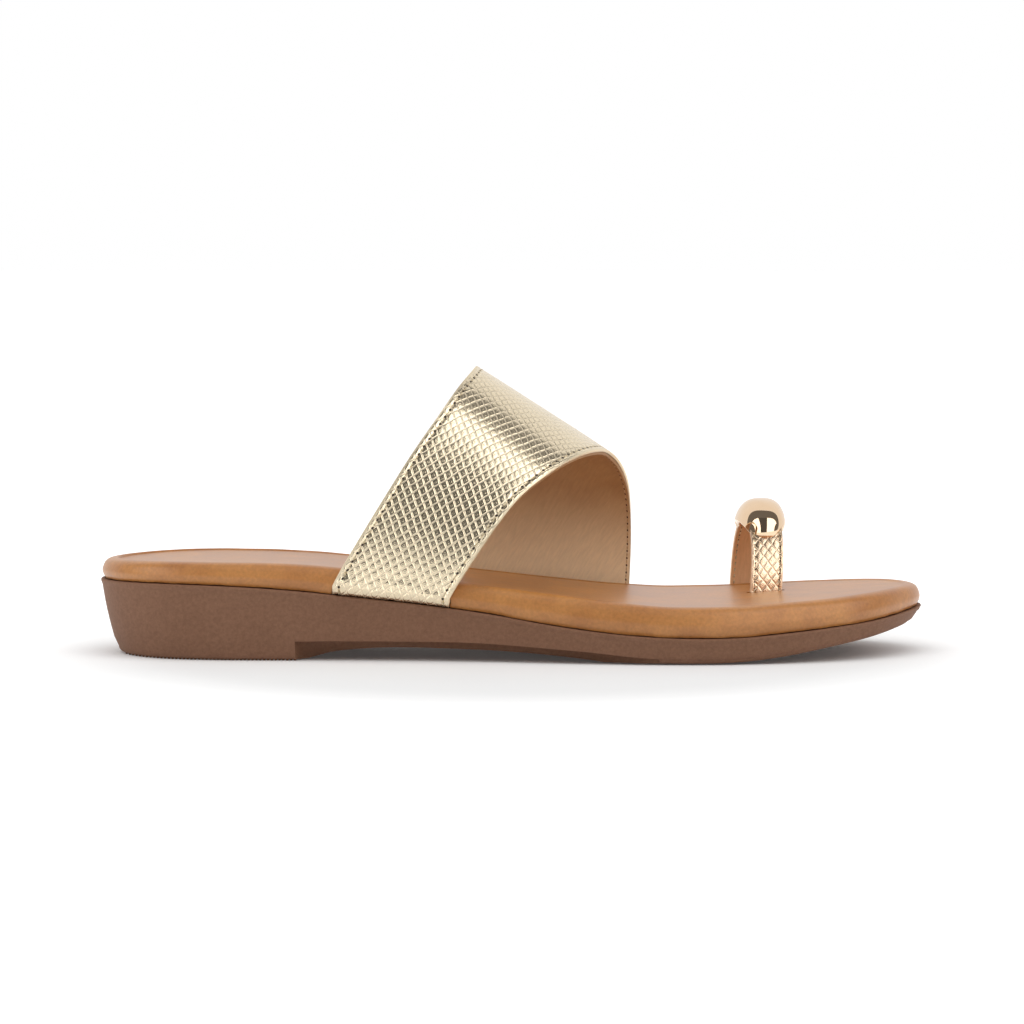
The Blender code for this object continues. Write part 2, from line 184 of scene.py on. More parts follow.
STRAP_EDGES = table(
    "degrees rear front",
    (0, 72.8, 108.5),
    (10, 81.5, 116.0),
    (20, 89.3, 122.7),
    (30, 96.0, 129.0),
    (45, 104.5, 138.8),
    (60, 110.4, 147.0),
    (75, 114.4, 153.2),
    (90, 116.0, 157.2),
    (105, 116.9, 161.0),
    (120, 117.0, 163.7),
    (140, 116.0, 165.2),
    (160, 113.5, 165.3),
    (180, 110.0, 164.6),
    plain=("degrees",),
)

# The bead's underside from its rim inwards: share of the way out to the rim, and drop
BEAD_UNDERSIDE = table(
    "share drop",
    (0.998, 0.1),
    (0.99, 0.22),
    (0.975, 0.32),
    (0.95, 0.45),
    (0.88, 0.9),
    (0.75, 1.5),
    (0.5, 2.1),
    (0.25, 2.4),
    (0, 2.4),
    plain=("share",),
)
# The sole's rounded lip beside its rim: rise and inset from the rim's corner
SOLE_LIP = table(
    "rise inset",
    (-2.2, 0.05),
    (-1.8, 0.0),
    (-1.4, -0.16),
    (-1.0, -0.34),
    (-0.6, -0.42),
    (-0.3, -0.4),
    (-0.08, -0.28),
    (0.0, -0.1),
    (0.0, 0.4),
)
# The footbed's rolled side, from its underside round to its top: inset from the outline and
# share of the height.
FOOTBED_ROLL = table(
    "step inset share",
    (0, 0.8, 0.0),
    (1, 0.25, 0.16),
    (2, 0.0, 0.38),
    (3, 0.3, 0.58),
    (4, 0.88, 0.785),
    (5, 1.9, 0.92),
    (6, 3.35, 0.985),
    (7, 5.2, 1.0),
    plain=("step", "share"),
)


def through(xs, ys):
    """A smooth function through the points, in cubic pieces with three-point slopes. It
    stays level where two neighbouring points are."""
    spans = [b - a for a, b in zip(xs, xs[1:])]
    rises = [(b - a) / span for a, b, span in zip(ys, ys[1:], spans)]
    slopes = [rises[0]]
    for i in range(1, len(rises)):
        weight = spans[i] / (spans[i - 1] + spans[i])
        slope = rises[i - 1] * weight + rises[i] * (1 - weight)
        slopes.append(slope if rises[i - 1] and rises[i] else 0.0)
    slopes.append(rises[-1])

    def at(x):
        x = min(max(x, xs[0]), xs[-1])
        i = max(k for k in range(len(spans)) if xs[k] <= x)
        t = (x - xs[i]) / spans[i]
        return (
            (1 + 2 * t) * (1 - t) ** 2 * ys[i]
            + t * (1 - t) ** 2 * spans[i] * slopes[i]
            + t * t * (3 - 2 * t) * ys[i + 1]
            + t * t * (t - 1) * spans[i] * slopes[i + 1]
        )

    return at


def column(rows, across, value):
    """One column of a table as a smooth function of another."""
    return through(
        [getattr(row, across) for row in rows], [getattr(row, value) for row in rows]
    )


seam_z = column(SIDE_VIEW, "x", "seam")
top_z = column(SIDE_VIEW, "x", "top")
floor_z = column(SIDE_VIEW, "x", "floor")
wall_lean = column(WALL_LEAN, "x", "lean")
ledge_z = column(WAIST, "x", "ledge")
undercut_depth = column(WAIST, "x", "depth")
arch_z = column(WAIST, "x", "arch")
ridge_z = column(INSTEP, "x", "ridge_z")
ridge_y = column(INSTEP, "x", "ridge_y")
strap_rear = column(STRAP_EDGES, "degrees", "rear")
strap_front = column(STRAP_EDGES, "degrees", "front")
roll_inset = column(FOOTBED_ROLL, "step", "inset")
roll_share = column(FOOTBED_ROLL, "step", "share")


def soft_step(low, high, value):
    """0 below low, 1 above high, and a smooth rise between them."""
    t = min(max((value - low) / (high - low), 0.0), 1.0)
    return t * t * (3 - 2 * t)


def ripple(point, size, seed=0.0):
    """Smooth noise from -1 to 1 whose humps are about one size across."""
    return noise.noise(Vector((point.x / size + seed, point.y / size, point.z / size)))


def roundness(x):
    """The half width of a circle-ended strip at x, against which widths are compared."""
    share = min(max(x / SOLE_LENGTH, 0.0), 1.0)
    return math.sqrt(share * (1 - share)) * 2


fullness = through(
    [row.x for row in OUTLINE],
    [(row.inner - row.outer) / 2 / roundness(row.x) for row in OUTLINE],
)
centre_line = through(
    [row.x for row in OUTLINE], [(row.inner + row.outer) / 2 for row in OUTLINE]
)


def edge_y(x, side):
    """The outline's outer (side -1) or inner (side 1) edge at x."""
    return centre_line(x) + side * fullness(x) * roundness(x)


def outline_point(step):
    """A point of the outline, from the heel's back round the outer side to the toe and on."""
    share = step % RING_STEPS / RING_STEPS
    x = SOLE_LENGTH * (1 - math.cos(2 * math.pi * share)) / 2
    return Vector((x, edge_y(x, -1 if share < 0.5 else 1), 0))


OUTLINE_POINTS = [outline_point(step) for step in range(RING_STEPS)]


def outline_ring(inset):
    """The outline as flat points, each moved in by the inset that a function of it gives."""
    ring = []
    for step, point in enumerate(OUTLINE_POINTS):
        along = OUTLINE_POINTS[(step + 1) % RING_STEPS] - OUTLINE_POINTS[step - 1]
        inward = Vector((-along.y, along.x, 0)).normalized()
        ring.append(point + inward * inset(point))
    return ring


def toward_spine(ring, share):
    """The ring drawn in towards the sole's middle line, which it meets at a share of 1."""
    drawn = []
    for i, point in enumerate(ring):
        across = ring[-i % RING_STEPS]
        x = (point.x + across.x) / 2
        x = min(max(x, SPINE_START), SPINE_END)
        drawn.append(point.lerp(Vector((x, centre_line(x), 0)), share))
    return drawn


def lifted(ring, height):
    """The flat ring raised to the height that a function of x and y gives."""
    return [Vector((p.x, p.y, height(p.x, p.y))) for p in ring]


# Making meshes


def grid(columns, rows):
    """A flat grid of faces whose points carry their column and row as x and y."""
    work = bmesh.new()
    bmesh.ops.create_grid(work, x_segments=columns, y_segments=rows, size=0.5)
    for vert in work.verts:
        vert.co.x = round((vert.co.x + 0.5) * columns)
        vert.co.y = round((vert.co.y + 0.5) * rows)
    return work


def add_piece(name, work):
    """The finished bmesh as an object in the frame, with its place in its mesh."""
    bmesh.ops.translate(work, verts=work.verts[:], vec=(-HEEL_CENTRE, 0, 0))
    mesh = bpy.data.meshes.new(name)
    work.to_mesh(mesh)
    work.free()
    obj = bpy.data.objects.new(name, mesh)
    bpy.context.scene.collection.objects.link(obj)
    return obj


def wrapped(rings, gap=0.01 * MM):
    """A grid bent round its rings of points and joined where it meets."""
    around = len(rings[0])
    work = grid(around, len(rings) - 1)
    for vert in work.verts:
        vert.co = rings[int(vert.co.y)][int(vert.co.x) % around]
    bmesh.ops.remove_doubles(work, verts=work.verts[:], dist=gap)
    return work


def skin(name, rings):
    """A closed form round its rings, whose first and last are single points."""
    return add_closed(name, wrapped(rings))


def add_closed(name, work):
    """A closed bmesh as a piece, with its faces turned outwards."""
    bmesh.ops.recalc_face_normals(work, faces=work.faces[:])
    return add_piece(name, work)


def settle(obj, smooth_degrees=40):
    """Applies the object's modifiers and shades it smooth, with sharp edges kept."""
    evaluated = obj.evaluated_get(bpy.context.evaluated_depsgraph_get())
    mesh = bpy.data.meshes.new_from_object(evaluated)
    obj.modifiers.clear()
    obj.data = mesh
    mesh.name = obj.name
    mesh.shade_smooth()
    mesh.set_sharp_from_angle(angle=math.radians(smooth_degrees))
    return obj


def modify(obj, kind, **settings):
    modifier = obj.modifiers.new(kind.lower(), kind)
    for name, value in settings.items():
        setattr(modifier, name, value)


def carve(obj, cutters):
    """Takes the cutters out of the object, and removes them."""
    for cutter in cutters:
        modify(obj, "BOOLEAN", operation="DIFFERENCE", solver="EXACT", object=cutter)
    settle(obj)
    for cutter in cutters:
        bpy.data.objects.remove(cutter)
    return obj


def closed_beam(name, rings):
    """A solid skinned over four-cornered sections, closed at both ends."""
    work = wrapped(rings)
    ends = [edge for edge in work.edges if edge.is_boundary]
    bmesh.ops.holes_fill(work, edges=ends, sides=4)
    return add_closed(name, work)


def dress(obj, node, slot, material):
    """The piece rides with the frame, stands for its node and takes its finish."""
    obj.data.materials.clear()
    obj.data.materials.append(material)
    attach(obj, "root")
    if node:
        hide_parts(node)


# Finishes

# What a word after a node's kind sets, as in Math:ADD
WAYS = {
    "Math": "operation",
    "VectorMath": "operation",
    "MapRange": "interpolation_type",
    "Mix": "blend_type",
}
# A mix of two colours: its settings, and the numbers of its two inputs
COLOURS = {"data_type": "RGBA", "output": 2}
UNDER, OVER = 6, 7
TIMES = "Math:MULTIPLY"
TIMES_PLUS = "Math:MULTIPLY_ADD"
EASE = "MapRange:SMOOTHSTEP"


def linear(hex_colour):
    """An sRGB hex colour as linear light, for a shader."""
    channels = []
    for k in (0, 2, 4):
        c = int(hex_colour[k : k + 2], 16) / 255
        channels.append(c / 12.92 if c <= 0.04045 else ((c + 0.055) / 1.055) ** 2.4)
    return (*channels, 1.0)


def plug(node, inputs):
    """Feeds a node's inputs, each with a value, a colour's hex or another node's output."""
    for key, value in inputs.items():
        if isinstance(value, bpy.types.NodeSocket):
            node.id_data.links.new(value, node.inputs[key])
        else:
            value = linear(value) if isinstance(value, str) else value
            node.inputs[key].default_value = value


def add(tree, kind, *inputs, output=0, **settings):
    """A node with its settings and links, as the output asked for, or all where that is
    None. Its inputs come in order, or named in a dict."""
    kind, _, way = kind.partition(":")
    if way:
        settings[WAYS[kind]] = way
    node = tree.nodes.new("ShaderNode" + kind)
    for name, value in settings.items():
        setattr(node, name, value)
    named = inputs and isinstance(inputs[0], dict)
    plug(node, inputs[0] if named else dict(enumerate(inputs)))
    return node.outputs if output is None else node.outputs[output]


def finish_named(name):
    """A new material, a function that adds a node to it, and its shader."""
    material = bpy.data.materials.new(name)
    material.use_nodes = True
    tree = material.node_tree
    return material, partial(add, tree), tree.nodes["Principled BSDF"]


def rubber():
    """Moulded thermoplastic rubber with a spark-eroded mould grain: matt, hardly any
    gleam, with a fine speckle that breaks up the brown."""
    material, node, shader = finish_named("moulded_rubber")
    place = node("TexCoord", output="Object")
    grain = {"Vector": place, "Scale": 1 / (1.1 * MM), "Detail": 4.0, "Roughness": 0.75}
    grain = node("TexNoise", grain)
    cloud = node("TexNoise", {"Vector": place, "Scale": 1 / (22 * MM), "Detail": 3.0})
    tone = node("MapRange", grain, 0.3, 0.7)
    speckle = node("Mix", {0: tone, UNDER: "7F5A43", OVER: "936B52"}, **COLOURS)
    mottle = node("Mix", {0: cloud, UNDER: "E4DED8", OVER: "FFFFFF"}, **COLOURS)
    colour = node("Mix:MULTIPLY", {0: 1.0, UNDER: speckle, OVER: mottle}, **COLOURS)
    bump = node("Bump", {"Height": grain, "Distance": 0.09 * MM, "Strength": 0.7})
    plug(shader, {"Base Color": colour, "Roughness": 0.68, "Normal": bump})
    plug(shader, {"Specular IOR Level": 0.4})
    return material


def footbed_leather():
    """Smooth chrome-tanned cowhide with a waxed finish, stretched over the board: warm tan,
    softly clouded, with a fine pore grain and a broad gentle gleam."""
    material, node, shader = finish_named("waxed_tan_cowhide")
    place = node("TexCoord", output="Object")
    cloud = {"Vector": place, "Scale": 1 / (14 * MM), "Detail": 5.0, "Roughness": 0.6}
    cloud = node("TexNoise", cloud)
    pores = node("TexVoronoi", {"Vector": place, "Scale": 1 / (0.8 * MM), "Randomness": 1.0})
    grain = node("TexNoise", {"Vector": place, "Scale": 1 / (1.0 * MM), "Detail": 3.0})
    tone = node("MapRange", cloud, 0.32, 0.68)
    base = node("Mix", {0: tone, UNDER: "AE7038", OVER: "C68747"}, **COLOURS)
    fleck = node("CombineColor", *[node("MapRange", grain, 0.35, 0.65, 0.9, 1.06)] * 3)
    colour = node("Mix:MULTIPLY", {0: 1.0, UNDER: base, OVER: fleck}, **COLOURS)
    gleam = node("MapRange", {"Value": cloud, "To Min": 0.36, "To Max": 0.5})
    height = node("Math:ADD", pores, grain)
    bump = node("Bump", {"Height": height, "Distance": 0.03 * MM, "Strength": 0.6})
    plug(shader, {"Base Color": colour, "Roughness": gleam, "Normal": bump})
    plug(shader, {"Specular IOR Level": 0.5, "Coat Weight": 0.4, "Coat Roughness": 0.3})
    return material


def needle_holes(node, seam, pitch, hole, stretch, soft):
    """1 in the holes along a seam, which the needle makes once a stitch, stretched along it.
    Also gives the distance from the leather's edge."""
    from_edge, along, _ = node("SeparateXYZ", node("UVMap", uv_map="edge"), output=None)
    near = (
        node("Math:DIVIDE", node("Math:PINGPONG", along, pitch / 2), hole * stretch),
        node("Math:DIVIDE", node("Math:SUBTRACT", from_edge, seam), hole),
    )
    reach = node("Math:ADD", *[node("Math:POWER", part, 2.0) for part in near])
    return node(EASE, reach, 0.6, soft, 1.0, 0.0), from_edge


NET_SPACING = 2.2
NET_HALF_ANGLE = math.radians(38)


def snake_leather(name, flat_colour, net_colour, seam, pitch, hole):
    """Cowhide with a pale gold foil, hot-stamped with a snake scale net: small mirror-like
    lozenges, each with a dimple, that flash light or dark, parted by fine sunk lines."""
    material, node, shader = finish_named(name)
    flat = node("UVMap", uv_map="flat")
    shift = node("TexNoise", {"Vector": flat, "Scale": 0.22, "Detail": 2.0}, output="Color")
    shift = node("VectorMath:ADD", shift, (-0.5, -0.5, -0.5))
    shift = node("VectorMath:SCALE", {0: shift, "Scale": 0.9})
    u, v, _ = node("SeparateXYZ", node("VectorMath:ADD", flat, shift), output=None)
    u = node(TIMES, u, math.cos(NET_HALF_ANGLE) / NET_SPACING)
    v = node(TIMES, v, math.sin(NET_HALF_ANGLE) / NET_SPACING)
    # Distance to the nearest net line in millimetres, 0 on a line and half a spacing inside
    near = [node("Math:PINGPONG", node("Math:" + way, u, v), 0.5) for way in ("ADD", "SUBTRACT")]
    line = node(TIMES, node("Math:MINIMUM", *near), NET_SPACING)
    off_centre = [node("Math:SUBTRACT", 0.5, n) for n in near]
    squares = [node(TIMES, o, o) for o in off_centre]
    centre = node(TIMES, node("Math:SQRT", node("Math:ADD", *squares)), NET_SPACING)

    # The very edge of the piece is rounded over and shows no net
    holes, from_edge = needle_holes(node, seam, pitch, hole, 1.25, 1.4)
    stamped = node(EASE, from_edge, seam * 0.2, seam * 0.55)

    plate = node(EASE, line, 0.06, 0.34)
    inside = node(EASE, centre, 0.12, 0.3)
    ring = node(TIMES, inside, node(EASE, centre, 0.3, 0.48, 1.0, 0.0))
    dome = node(EASE, centre, 0.0, 1.1, 1.0, 0.0)
    height = node(TIMES_PLUS, dome, 0.35, plate)
    height = node(TIMES_PLUS, ring, -0.16, height)
    height = node(TIMES, height, stamped)
    height = node(TIMES_PLUS, holes, -2.0, height)

    # In the net's grooves the foil is crushed and duller, and stays pale beside a dark mirror
    worn = node("TexNoise", {"Vector": flat, "Scale": 2.2, "Detail": 4.0, "Roughness": 0.7})
    net = node(TIMES, node(EASE, line, 0.12, 0.34, 1.0, 0.0), stamped)
    speck = node(TIMES, node(TIMES, ring, stamped), 0.4)
    matt = node("Math:MAXIMUM", net, speck)
    colour = flat_colour
    for share, hue in (
        (worn, net_colour),
        (node(TIMES, matt, 0.35), "F6E4C6"),
        # Needle holes: matt where the foil is pierced, and painted near black as the shade inside
        # them
        (holes, "3A2C1C"),
    ):
        colour = node("Mix", {0: share, UNDER: colour, OVER: hue}, **COLOURS)
    rough = 0.36
    for part, weight in ((matt, 0.1), (worn, 0.14), (stamped, -0.24), (holes, 0.4)):
        rough = node(TIMES_PLUS, part, weight, rough)
    metal = node(TIMES_PLUS, matt, -0.12, 0.97)
    metal = node(TIMES, node("Math:SUBTRACT", 1.0, holes), metal)
    grain = node("TexNoise", {"Vector": flat, "Scale": 5.0, "Detail": 2.0})
    fine = node("Bump", {"Height": grain, "Distance": 0.02 * MM, "Strength": 0.4})
    bump = {"Height": height, "Distance": 0.1 * MM, "Strength": 1.0, "Normal": fine}
    plug(shader, {"Base Color": colour, "Roughness": rough, "Metallic": metal})
    plug(shader, {"Normal": node("Bump", bump)})
    return material


def lining_leather(name, pale, deep, foot, seam, pitch, hole):
    """Undyed sheepskin lining, aniline finished and flat: beige brown, soft, with fine
    slanting wrinkles and needle holes beside its edge, and painted bounce light at its foot."""
    material, node, shader = finish_named(name)
    flat = node("UVMap", uv_map="flat")
    slant = (0, 0, math.radians(22))
    turned = node("Mapping", {"Vector": flat, "Rotation": slant, "Scale": (1.3, 0.22, 1)})
    wrinkles = {"Vector": turned, "Scale": 1.0, "Detail": 4.0, "Roughness": 0.6}
    wrinkles = node("TexNoise", wrinkles)
    cloud = node("TexNoise", {"Vector": flat, "Scale": 0.09, "Detail": 3.0})
    holes = needle_holes(node, seam, pitch, hole, 1.5, 1.5)[0]
    colour = node("Mix", {0: cloud, UNDER: pale, OVER: deep}, **COLOURS)
    # Painted light: paler towards its foot, as bounce light from the footbed
    up = node("SeparateXYZ", node("TexCoord", output="Object"), output="Z")
    bounce_lit_share = node(EASE, up, 18 * MM, 53 * MM, 1.0, 0.0)
    colour = node("Mix", {0: bounce_lit_share, UNDER: colour, OVER: foot}, **COLOURS)
    streak = node("CombineColor", *[node("MapRange", wrinkles, 0.35, 0.65, 0.93, 1.05)] * 3)
    colour = node("Mix:MULTIPLY", {0: 1.0, UNDER: colour, OVER: streak}, **COLOURS)
    # Needle holes painted dark brown as the shade inside them
    colour = node("Mix", {0: holes, UNDER: colour, OVER: "4A2A16"}, **COLOURS)
    height = node(TIMES_PLUS, holes, -1.5, wrinkles)
    bump = node("Bump", {"Height": height, "Distance": 0.12 * MM, "Strength": 0.6})
    plug(shader, {"Base Color": colour, "Roughness": 0.6, "Normal": bump})
    return material


def thread(name, hex_colour):
    """Bonded polyester sewing thread: a tight twist with a low satin gleam."""
    material, node, shader = finish_named(name)
    twist = {"Vector": node("TexCoord", output="Object"), "Scale": 1 / (2.5 * MM)}
    twist = node("TexWave", {**twist, "Distortion": 1.0}, bands_direction="DIAGONAL")
    shade = {0: twist, UNDER: hex_colour, OVER: "D8D0C4"}
    bump = node("Bump", {"Height": twist, "Distance": 0.05 * MM, "Strength": 0.5})
    plug(shader, {"Base Color": node("Mix:MULTIPLY", shade, **COLOURS), "Normal": bump})
    plug(shader, {"Roughness": 0.5, "Sheen Weight": 0.2})
    return material


def polished_gold():
    """Zinc casting, tumbled, plated in rose-tinted gold and lacquered: a clean mirror with
    the slightest haze."""
    material, node, shader = finish_named("plated_gold")
    place = node("TexCoord", output="Object")
    haze = node("TexNoise", {"Vector": place, "Scale": 1 / (5 * MM), "Detail": 3.0})
    colour = node("Mix", {0: haze, UNDER: "F4D8B8", OVER: "EFCEAA"}, **COLOURS)
    rough = node("MapRange", {"Value": haze, "To Min": 0.03, "To Max": 0.07})
    plug(shader, {"Base Color": colour, "Metallic": 1.0, "Roughness": rough})
    return material


# Sole


def sole_wall(share, rise=0.0, inset=0.0):
    """A ring of the sole's wall: its share of the height from floor to rim, and a rise and
    an inset on top of that."""

    def lean(point):
        return wall_lean(point.x) * (1 - share) ** 1.5 + inset

    def height(x, y):
        wall = seam_z(x) - sole_foot(x, y)
        return sole_foot(x, y) + wall * share + rise * min(wall / SOLE_FULL_WALL, 1.0)

    return lifted(outline_ring(lean), height)


def sole_foot(x, y):
    """The bottom of the moulded wall, above the ribs of the tread."""
    return floor_z(x) + TREAD_DEPTH


def waist_stations():
    """Where the waist's cutters have a section, closely spaced round the heel's corner."""
    start, end = WAIST[0].x, WAIST[-1].x
    corner = [start + BREAST_FILLET * (1 - math.cos(math.radians(a))) for a in range(8, 90, 8)]
    plain = [start + (end - start) * k / 50 for k in range(51)]
    return sorted(corner + [x for x in plain if x == start or x > corner[-1]])


def undercut_station(x, side):
    """A section of the undercut, whose wall turns in with a round corner at the heel."""
    into = min((x - WAIST[0].x) / BREAST_FILLET, 1.0)
    inset = undercut_depth(x) * math.sqrt(1 - (1 - into) ** 2)
    wall = edge_y(x, side) - side * inset
    low, high = sorted((wall, edge_y(x, side) + side * CUT_OVERRUN))
    return x, low, high, CUT_BASE, ledge_z(x)


def beam_cutter(name, stations):
    """A cutter along x: at each station its low and high y, and its flat base and roof."""
    return closed_beam(
        name,
        [
            [Vector((x, y, z)) for y, z in ((low, base), (high, base), (high, roof), (low, roof))]
            for x, low, high, base, roof in stations
        ],
    )


def sole():
    """The sole from its underside's middle, out and up its wall, to its upper face's middle,
    with the undercuts beside the waist and the arch under it taken out."""
    radius = FLOOR_EDGE_RADIUS
    under = outline_ring(lambda point: wall_lean(point.x) + radius)
    top = outline_ring(lambda point: RIM_LIP * 2)
    rings = [lifted(toward_spine(under, share), sole_foot) for share in (1, 0.66, 0.33)]
    for degrees in (0, 18, 36, 54, 72, 90):
        turn = math.radians(degrees)
        rings.append(sole_wall(0, radius * (1 - math.cos(turn)), radius * (1 - math.sin(turn))))
    rings += [sole_wall(share) for share in (0.2, 0.32, 0.45, 0.58, 0.7)]
    rings += [sole_wall(1, row.rise, row.inset) for row in SOLE_LIP]
    rings += [lifted(toward_spine(top, share), lambda x, y: seam_z(x)) for share in (0, 0.5, 1)]
    body = skin("sole", rings)
    cutters = [
        beam_cutter("undercut", [undercut_station(x, side) for x in waist_stations()])
        for side in (-1, 1)
    ]
    arch = [
        (x, edge_y(x, -1) + 4 * MM, edge_y(x, 1) - 4 * MM, CUT_BASE, arch_z(x))
        for x in waist_stations()
    ]
    carve(body, [*cutters, beam_cutter("arch", arch)])
    return body


def ends_across(ring, x):
    """The least and the greatest y at which a flat ring crosses x."""
    pairs = [(a, b) for a, b in zip(ring, ring[1:] + ring[:1]) if (a.x - x) * (b.x - x) < 0]
    crossings = [a.y + (b.y - a.y) * (x - a.x) / (b.x - a.x) for a, b in pairs]
    return min(crossings), max(crossings)


def tread():
    """Fine ribs across the heel and the forefoot, a little proud of the wall's foot."""
    work = bmesh.new()
    for start, end, inset in ((8 * MM, 61 * MM, 1.2 * MM), (168 * MM, 238 * MM, 9 * MM)):
        foot = outline_ring(lambda point: wall_lean(point.x) + inset)
        count = round((end - start) / TREAD_PITCH)
        for k in range(count + 1):
            x = start + TREAD_PITCH * k
            ends = ends_across(foot, x)
            centre = Vector((x, sum(ends) / 2, floor_z(x) + TREAD_DEPTH))
            size = (TREAD_PITCH * 0.62, ends[1] - ends[0], TREAD_DEPTH * 2, 1)
            place = Matrix.Translation(centre) @ Matrix.Diagonal(size)
            made = bmesh.ops.create_cube(work, size=1, matrix=place)["verts"]
            edges = {edge for vert in made for edge in vert.link_edges}
            low = [edge for edge in edges if all(v.co.z < centre.z for v in edge.verts)]
            how = {"segments": 1, "profile": 0.5, "affect": "EDGES", "material": -1}
            bmesh.ops.bevel(work, geom=low, offset=0.16 * MM, **how)
    return settle(add_piece("tread", work), 30)


# Footbed


def footbed_height(x, y):
    """The footbed's top, with a shallow cup where the heel rests."""
    half = max(fullness(x) * roundness(x), 1 * MM)
    off = (y - centre_line(x)) / half
    along = (x - HEEL_CENTRE) / HEEL_CUP_LENGTH
    cup = HEEL_CUP_DEPTH * max(0.0, 1 - along * along) * max(0.0, 1 - off * off)
    return top_z(x) - cup


def footbed_side(step):
    """A ring of the rolled side. Its lower edge is turned under by hand and wavers."""
    loose = 1 - soft_step(0, 2.5, step)

    def inset(point):
        return roll_inset(step) + loose * 0.35 * MM * ripple(point, 7 * MM, 3.0)

    def height(x, y):
        waver = loose * 0.22 * MM * ripple(Vector((x, y, 0)), 5 * MM, 9.0)
        return seam_z(x) + CLEARANCE + roll_share(step) * (top_z(x) - seam_z(x)) + waver

    return lifted(outline_ring(inset), height)


def footbed():
    under = outline_ring(lambda point: 1.3 * MM)
    top = outline_ring(lambda point: FOOTBED_EDGE_ROLL)
    bottom = lambda x, y: seam_z(x) + CLEARANCE
    rings = [lifted(toward_spine(under, share), bottom) for share in (1, 0.5, 0.1)]
    rings += [footbed_side(step / 4) for step in range(28)]
    shares = [0, 0.06, 0.14, 0.24, 0.36, 0.5, 0.65, 0.8, 0.92, 1]
    rings += [lifted(toward_spine(top, share), footbed_height) for share in shares]
    for ring in rings[6:]:
        for point in ring:
            point.z += 0.1 * MM * ripple(point, 24 * MM) + 0.05 * MM * ripple(point, 9 * MM)
    return skin("footbed_wrapped", rings)


# Straps


def cut_band(name, middle, thickness):
    """A closed band of even thickness round a grid of points, to cut a seat with."""
    front, back = offset_rows(middle, thickness / 2), offset_rows(middle, -thickness / 2)
    return skin_capped(name, [a + b[::-1] for a, b in zip(front, back)])


def skin_capped(name, rings):
    """A tube bent round its rings of points and closed flat at both ends."""
    work = wrapped(rings, 0.001 * MM)
    for ring in (rings[0], rings[-1]):
        verts = [min(work.verts, key=lambda vert: (vert.co - point).length) for point in ring]
        for i in range(len(verts) // 2 - 1):
            work.faces.new((verts[i], verts[i + 1], verts[-2 - i], verts[-1 - i]))
    return add_closed(name, work)


def lengths_along(points):
    """The length run along a line of points at each of them, always growing."""
    steps = [max((b - a).length, 1e-7) for a, b in zip(points, points[1:])]
    return list(accumulate(steps, initial=0.0))


def normals_of(rows):
    """The outward direction at each point of a grid of rows."""
    last = len(rows) - 1
    made = []
    for i, row in enumerate(rows):
        line = []
        for j in range(len(row)):
            along = rows[min(i + 1, last)][j] - rows[max(i - 1, 0)][j]
            across = row[min(j + 1, len(row) - 1)] - row[max(j - 1, 0)]
            line.append(across.cross(along).normalized())
        made.append(line)
    return made


def offset_rows(rows, distance):
    """The grid moved outwards by a distance, or by what a function of row and column says."""
    moved = []
    for i, (row, outs) in enumerate(zip(rows, normals_of(rows))):
        line = []
        for j, (point, out) in enumerate(zip(row, outs)):
            off = distance(i, j) if callable(distance) else distance
            line.append(point + out * off)
        moved.append(line)
    return moved


def instep_point(x, degrees):
    """The middle of the strap's thickness over the last, at x and so far round the foot."""
    side = -1 if degrees < 90 else 1
    shoulder = INSTEP_OUTER_SHOULDER if side < 0 else INSTEP_INNER_SHOULDER
    angle = math.radians(degrees)
    foot_edge = edge_y(x, side) + side * STRAP_OUTSTAND
    start = seam_z(x) + CLEARANCE + STRAP_THICKNESS / 2 + STRAP_BEND_RADIUS
    wide = abs(math.cos(angle)) ** (2 / shoulder)
    high = math.sin(angle) ** (2 / shoulder)
    return Vector(
        (
            x,
            ridge_y(x) + (foot_edge - ridge_y(x)) * wide,
            start + (ridge_z(x) - start) * high,
        )
    )


def margin_drop(reach):
    """How far a strap has turned in and down, once reach past the foot of its wall."""
    radius = STRAP_BEND_RADIUS
    bend = radius * math.pi / 2
    if reach < bend:
        angle = reach / radius
        return radius * (1 - math.cos(angle)), radius * math.sin(angle)
    return radius + reach - bend, radius


def margin_reaches(margin, steps):
    """Stations along a strap's margin, from the foot of its wall to its hidden end."""
    bend = STRAP_BEND_RADIUS * math.pi / 2
    return [bend * k / steps for k in range(1, steps + 1)] + [bend + margin / 2, bend + margin]


def strap_rows(round_steps, places, extra=0.0, bend_steps=3):
    """The strap's grid from its outer margin over the instep to its inner margin. places
    gives the stations across, as distances from the rear edge, for a width."""
    reaches = margin_reaches(STRAP_MARGIN + extra, bend_steps)
    stations = [(0, reach) for reach in reversed(reaches)]
    stations += [(180 * step / round_steps, 0) for step in range(round_steps + 1)]
    stations += [(180, reach) for reach in reaches]
    rows = []
    for degrees, reach in stations:
        rear, front = strap_rear(degrees) - extra, strap_front(degrees) + extra
        row = []
        for place in places(front - rear):
            point = instep_point(rear + place, min(max(degrees, 1e-6), 180 - 1e-6))
            inward, down = margin_drop(reach)
            point.y += inward if degrees < 90 else -inward
            point.z -= down
            row.append(point)
        rows.append(row)
    return rows


def even_places(width):
    return [width * step / 8 for step in range(9)]


EDGE_PLACES = [0, 0.12, 0.3, 0.55, 0.85, 1.2, 1.55, 1.85, 2.15, 2.5, 2.9, 3.6, 4.6]


def fine_places(width):
    """Stations across a strap, close together beside both of its edges."""
    rim = [place * MM for place in EDGE_PLACES]
    middle = [rim[-1] + (width - 2 * rim[-1]) * k / 14 for k in range(1, 14)]
    return rim + middle + [width - place for place in reversed(rim)]


def loop_places(width):
    rim = [place * MM for place in (0, 0.12, 0.3, 0.6, 0.9, 1.2, 1.6, 2.2, 3.0, 4.0)]
    return rim + [width / 2] + [width - place for place in reversed(rim)]


